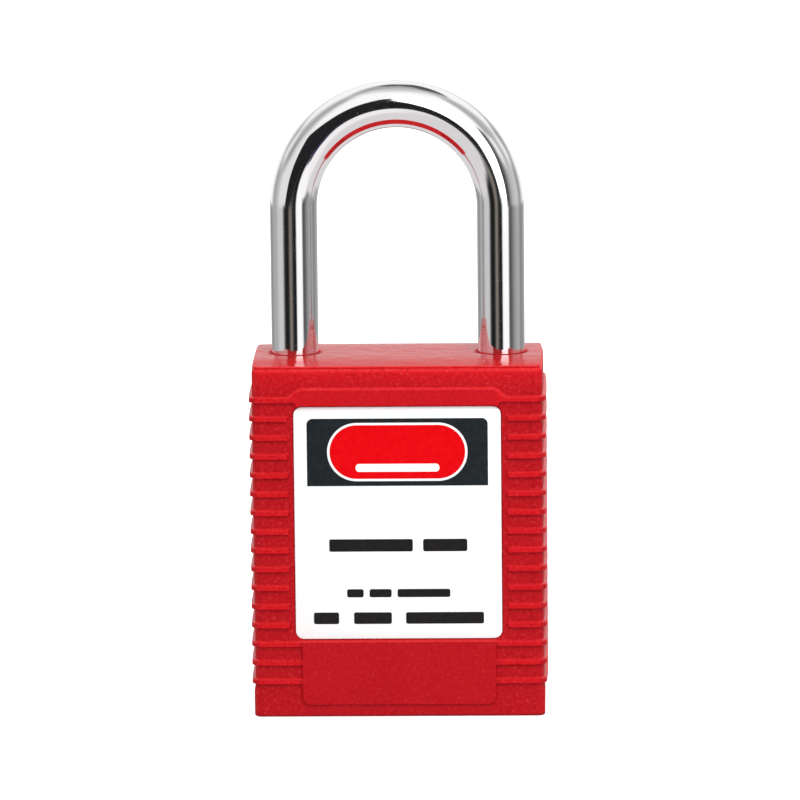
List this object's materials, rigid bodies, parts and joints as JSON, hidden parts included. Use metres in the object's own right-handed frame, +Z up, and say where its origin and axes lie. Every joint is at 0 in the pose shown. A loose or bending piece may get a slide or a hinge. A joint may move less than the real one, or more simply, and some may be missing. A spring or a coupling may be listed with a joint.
{
  "type": "safety padlock",
  "caption": "Ribbed nylon safety padlock with a lifting plated steel shackle, pin-tumbler cylinder and two locking balls.",
  "frame": {"origin": "centre of the body's underside, on the surface the padlock stands on", "axes": "+X to the right seen from the front (the shackle's short leg), -Y towards the front label, +Z up through the shackle"},
  "size_m": [0.0378, 0.02, 0.0803],
  "materials": {
    "red_nylon": "moulded glass-filled nylon with a fine grain",
    "red_nylon_cover": "moulded nylon, smoother than the body",
    "label_front_vinyl": "printed white vinyl with a satin overlay",
    "label_back_vinyl": "printed white vinyl with a satin overlay",
    "die_cast_zinc": "die-cast zinc, satin",
    "zinc_plated_steel": "bright zinc plate",
    "brass_strip": "rolled strip",
    "hardened_pin_steel": "ground",
    "spring_steel": "drawn wire",
    "machined_brass": "turned and milled",
    "plated_shackle_steel": "bright chrome plate on hardened steel",
    "ball_bearing_steel": "ground and polished",
    "pin_steel": "turned"
  },
  "bodies": {
    "body": {"body_shell": "red_nylon", "bottom_cover": "red_nylon_cover", "label_front": "label_front_vinyl", "label_back": "label_back_vinyl", "cylinder_barrel": "die_cast_zinc", "barrel_retaining_screw": "zinc_plated_steel", "chamber_strip": "brass_strip", "heel_retaining_pin": "hardened_pin_steel", "spring_seat": "zinc_plated_steel", "shackle_spring": "spring_steel", "driver_pin_1": "pin_steel", "driver_pin_2": "pin_steel", "driver_pin_3": "pin_steel", "driver_pin_4": "pin_steel", "driver_pin_5": "pin_steel", "driver_pin_6": "pin_steel", "pin_spring_1": "spring_steel", "pin_spring_2": "spring_steel", "pin_spring_3": "spring_steel", "pin_spring_4": "spring_steel", "pin_spring_5": "spring_steel", "pin_spring_6": "spring_steel"},
    "shackle": {"shackle": "plated_shackle_steel"},
    "core": {"plug": "machined_brass", "plug_clip": "spring_steel", "cam": "die_cast_zinc", "key_pin_1": "machined_brass", "key_pin_2": "machined_brass", "key_pin_3": "machined_brass", "key_pin_4": "machined_brass", "key_pin_5": "machined_brass", "key_pin_6": "machined_brass"},
    "ball_heel": {"ball_heel": "ball_bearing_steel"},
    "ball_toe": {"ball_toe": "ball_bearing_steel"}
  },
  "joints": [
    {"name": "shackle_lift", "type": "slide", "parent": "body", "child": "shackle", "axis": [0, 0, 1], "range_m": [0, 0.011], "deforming": ["shackle_spring"]},
    {"name": "plug_turn", "type": "hinge", "parent": "body", "child": "core", "pos_m": [0, 0, 0], "axis": [0, 0, 1], "range_deg": [0, 90]},
    {"name": "ball_heel_slide", "type": "slide", "parent": "body", "child": "ball_heel", "axis": [-1, 0, 0], "range_m": [0, 0.0013]},
    {"name": "ball_toe_slide", "type": "slide", "parent": "body", "child": "ball_toe", "axis": [1, 0, 0], "range_m": [0, 0.0013]}
  ],
  "couplings": [
    {"joint": "ball_heel_slide", "follows": "plug_turn", "m_per_rad": 0.000827},
    {"joint": "ball_toe_slide", "follows": "plug_turn", "m_per_rad": 0.000827}
  ]
}
